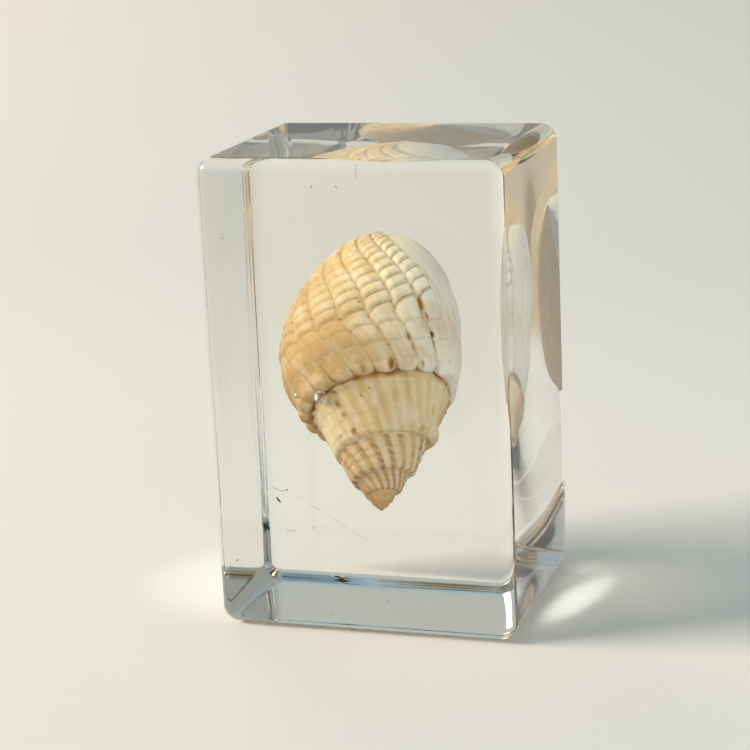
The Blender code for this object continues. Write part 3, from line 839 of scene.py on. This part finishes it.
studio = {
    "floorGap": 0.3,
    "floorPale": "eae8e3",
    "floorSand": "bc9c6a",  # the floor turns to this in front, out of view
    "floorShadedBack": "c4c8c8",
    "dusk": 0.24,  # painted shade: how much of it shows behind, where the window's light falls off
    "duskFrom": 60.0,
    "duskTo": 240.0,
    "paperGrain": 0.8,
    "sandFrom": -78.0,
    "sandTo": -135.0,
    "roomLow": "b4b8b1",  # at the height of the horizon
    "roomHigh": "86adc2",
    "roomColour": "eef4f4",
    "roomLeft": 1.0,  # strength
    "roomRight": 0.6,
    "roomTurn": (-0.35, 0.4),  # from left to right, as shares of the way round
    "roomRise": (0.38, 0.8),  # from the low colour to the high one
    "windowDistance": 2.2,
    "windowHeight": 27.0,  # degrees above the floor
    "windowAhead": 18.0,  # degrees towards the front
    "windowSize": (1.0, 0.45),
    "windowColour": "fff0dc",
    "windowPower": 69.0,
    "glowPlace": (-1.0, 1.4, 0.8),
    "glowTarget": (-0.35, 0.9, 0.0),
    "glowColour": "ffdcae",
    "glowPower": 4.8,
    "glowSize": 0.6,
    "shellLights": (  # bent by the block's top and sides: name, strength, colour, where it comes from
        ("windowThroughTop", 1.62, "windowColour", (-0.58, -0.1, 0.81)),
        ("windowThroughSide", 0.1, "windowColour", (-0.95, -0.1, 0.3)),
        ("roomThroughFront", 1.4, "roomColour", (1.0, -0.75, 0.25)),
    ),
    "shellLightAngle": 9.0,  # degrees, which softens the shadows
    "thrownLight": (  # on the floor, by the block: place, target (mm), cone (degrees), watts
        ((-48.5, -281.0, 94.0), (24.0, 1.0, 0.0), 1.3, 7.0),
        ((-60.0, 10.0, 250.0), (-22.0, 1.0, 0.0), 8.0, 0.6),
    ),
}


def paleMattPaper(s):
    # uncoated paper, matt and even, warmer where it leaves the picture, and darker behind with painted shade
    material, tree, surface = newMaterial("paleMattPaper")
    place = addNode(tree, "ShaderNodeTexCoord")
    axes = addNode(tree, "ShaderNodeSeparateXYZ", links={"Vector": place.outputs["Object"]})
    ahead = addNode(tree, "ShaderNodeMapRange",
                    {"interpolation_type": "SMOOTHSTEP", "From Min": s["sandFrom"] * mm,
                     "From Max": s["sandTo"] * mm},
                    {"Value": axes.outputs["Y"]})
    tone = addNode(tree, "ShaderNodeValToRGB", links={"Fac": ahead.outputs["Result"]})
    tone.color_ramp.elements[0].color = linearColour(s["floorPale"])
    tone.color_ramp.elements[1].color = linearColour(s["floorSand"])
    # painted shade: darker behind the block, in place of the window's light falling off
    behind = addNode(tree, "ShaderNodeMapRange",
                     {"interpolation_type": "SMOOTHSTEP", "From Min": s["duskFrom"] * mm,
                      "From Max": s["duskTo"] * mm, "To Max": s["dusk"]},
                     {"Value": axes.outputs["Y"]})
    grain = addNode(tree, "ShaderNodeTexNoise", {"Scale": 1.0 / (s["paperGrain"] * mm), "Detail": 4.0},
                    {"Vector": place.outputs["Object"]})
    mottle = addNode(tree, "ShaderNodeMapRange", {"To Min": -0.01, "To Max": 0.01},
                     {"Value": grain.outputs["Fac"]})
    darker = addNode(tree, "ShaderNodeMath", {"operation": "ADD"},
                     {0: behind.outputs["Result"], 1: mottle.outputs["Result"]})
    shade = addNode(tree, "ShaderNodeMix", {"data_type": "RGBA", 7: linearColour(s["floorShadedBack"])},
                    {0: darker.outputs[0], 6: tone.outputs["Color"]})
    tree.links.new(shade.outputs[2], surface.inputs["Base Color"])
    rough = addNode(tree, "ShaderNodeMapRange", {"To Min": 0.6, "To Max": 0.8},
                    {"Value": grain.outputs["Fac"]})
    tree.links.new(rough.outputs["Result"], surface.inputs["Roughness"])
    tooth = addNode(tree, "ShaderNodeBump", {"Strength": 0.2, "Distance": 0.02 * mm},
                    {"Height": grain.outputs["Fac"]})
    tree.links.new(tooth.outputs["Normal"], surface.inputs["Normal"])
    surface.inputs["Specular IOR Level"].default_value = 0.3
    return material


def roomLight(s):
    world = bpy.data.worlds.new("room")
    world.use_nodes = True
    tree = world.node_tree
    background = tree.nodes["Background"]
    place = addNode(tree, "ShaderNodeTexCoord")
    axes = addNode(tree, "ShaderNodeSeparateXYZ", links={"Vector": place.outputs["Generated"]})
    low, high = s["roomTurn"]
    side = addNode(tree, "ShaderNodeMapRange",
                   {"interpolation_type": "SMOOTHSTEP", "From Min": low, "From Max": high,
                    "To Min": s["roomLeft"], "To Max": s["roomRight"]},
                   {"Value": axes.outputs["X"]})
    height = addNode(tree, "ShaderNodeValToRGB", links={"Fac": axes.outputs["Z"]})
    stops = height.color_ramp.elements
    for stop, position, colour in zip(stops, s["roomRise"], (s["roomLow"], s["roomHigh"])):
        stop.position, stop.color = position, linearColour(colour)
    tree.links.new(height.outputs["Color"], background.inputs["Color"])
    tree.links.new(side.outputs["Result"], background.inputs["Strength"])
    return world


def addLight(name, kind, energy, colour, place, target):
    light = bpy.data.lights.new(name, kind)
    light.energy = energy
    light.color = linearColour(colour)[:3]
    lightObject = bpy.data.objects.new(name, light)
    bpy.context.scene.collection.objects.link(lightObject)
    lightObject.location = place
    lightObject.rotation_euler = (Vector(target) - Vector(place)).to_track_quat("-Z", "Y").to_euler()
    return lightObject


def addStudio(s):
    bpy.ops.mesh.primitive_plane_add(size=6, location=(0, 0, -s["floorGap"] * mm))
    floor = bpy.context.object
    floor.name = "floor"
    floor.data.materials.append(paleMattPaper(s))
    bpy.context.scene.world = roomLight(s)
    height, ahead = math.radians(s["windowHeight"]), math.radians(s["windowAhead"])
    level = math.cos(height)
    towards = Vector((-level * math.cos(ahead), -level * math.sin(ahead), math.sin(height)))
    window = addLight("window", "AREA", s["windowPower"], s["windowColour"],
                      towards * s["windowDistance"] + Vector((0, 0, 0.02)), (0, 0, 0.02))
    window.data.shape = "RECTANGLE"
    window.data.size, window.data.size_y = s["windowSize"]
    glow = addLight("glow", "AREA", s["glowPower"], s["glowColour"], s["glowPlace"], s["glowTarget"])
    glow.data.size = s["glowSize"]

    # the light as it reaches the shell, which is the only thing that these lamps light
    litShell = bpy.data.collections.new("litShell")
    litShell.objects.link(shell)
    for name, strength, colour, place in s["shellLights"]:
        bent = addLight(name, "SUN", strength, s[colour], place, (0, 0, 0))
        bent.data.angle = math.radians(s["shellLightAngle"])
        bent.light_linking.receiver_collection = litShell
        bent.light_linking.blocker_collection = litShell

    # the light that the block bends and mirrors on to the floor, which is all that these light
    litFloor = bpy.data.collections.new("litFloor")
    litFloor.objects.link(floor)
    for place, target, cone, power in s["thrownLight"]:
        place, target = [[v * mm for v in at] for at in (place, target)]
        thrown = addLight("thrownLight", "SPOT", power, s["roomColour"], place, target)
        thrown.data.spot_size = math.radians(cone)
        thrown.data.spot_blend = 1.0
        thrown.data.shadow_soft_size = 0.0005
        thrown.light_linking.receiver_collection = litFloor
        thrown.light_linking.blocker_collection = litFloor
    bpy.context.scene.view_settings.view_transform = "Standard"


addStudio(studio)
print("studio lit")
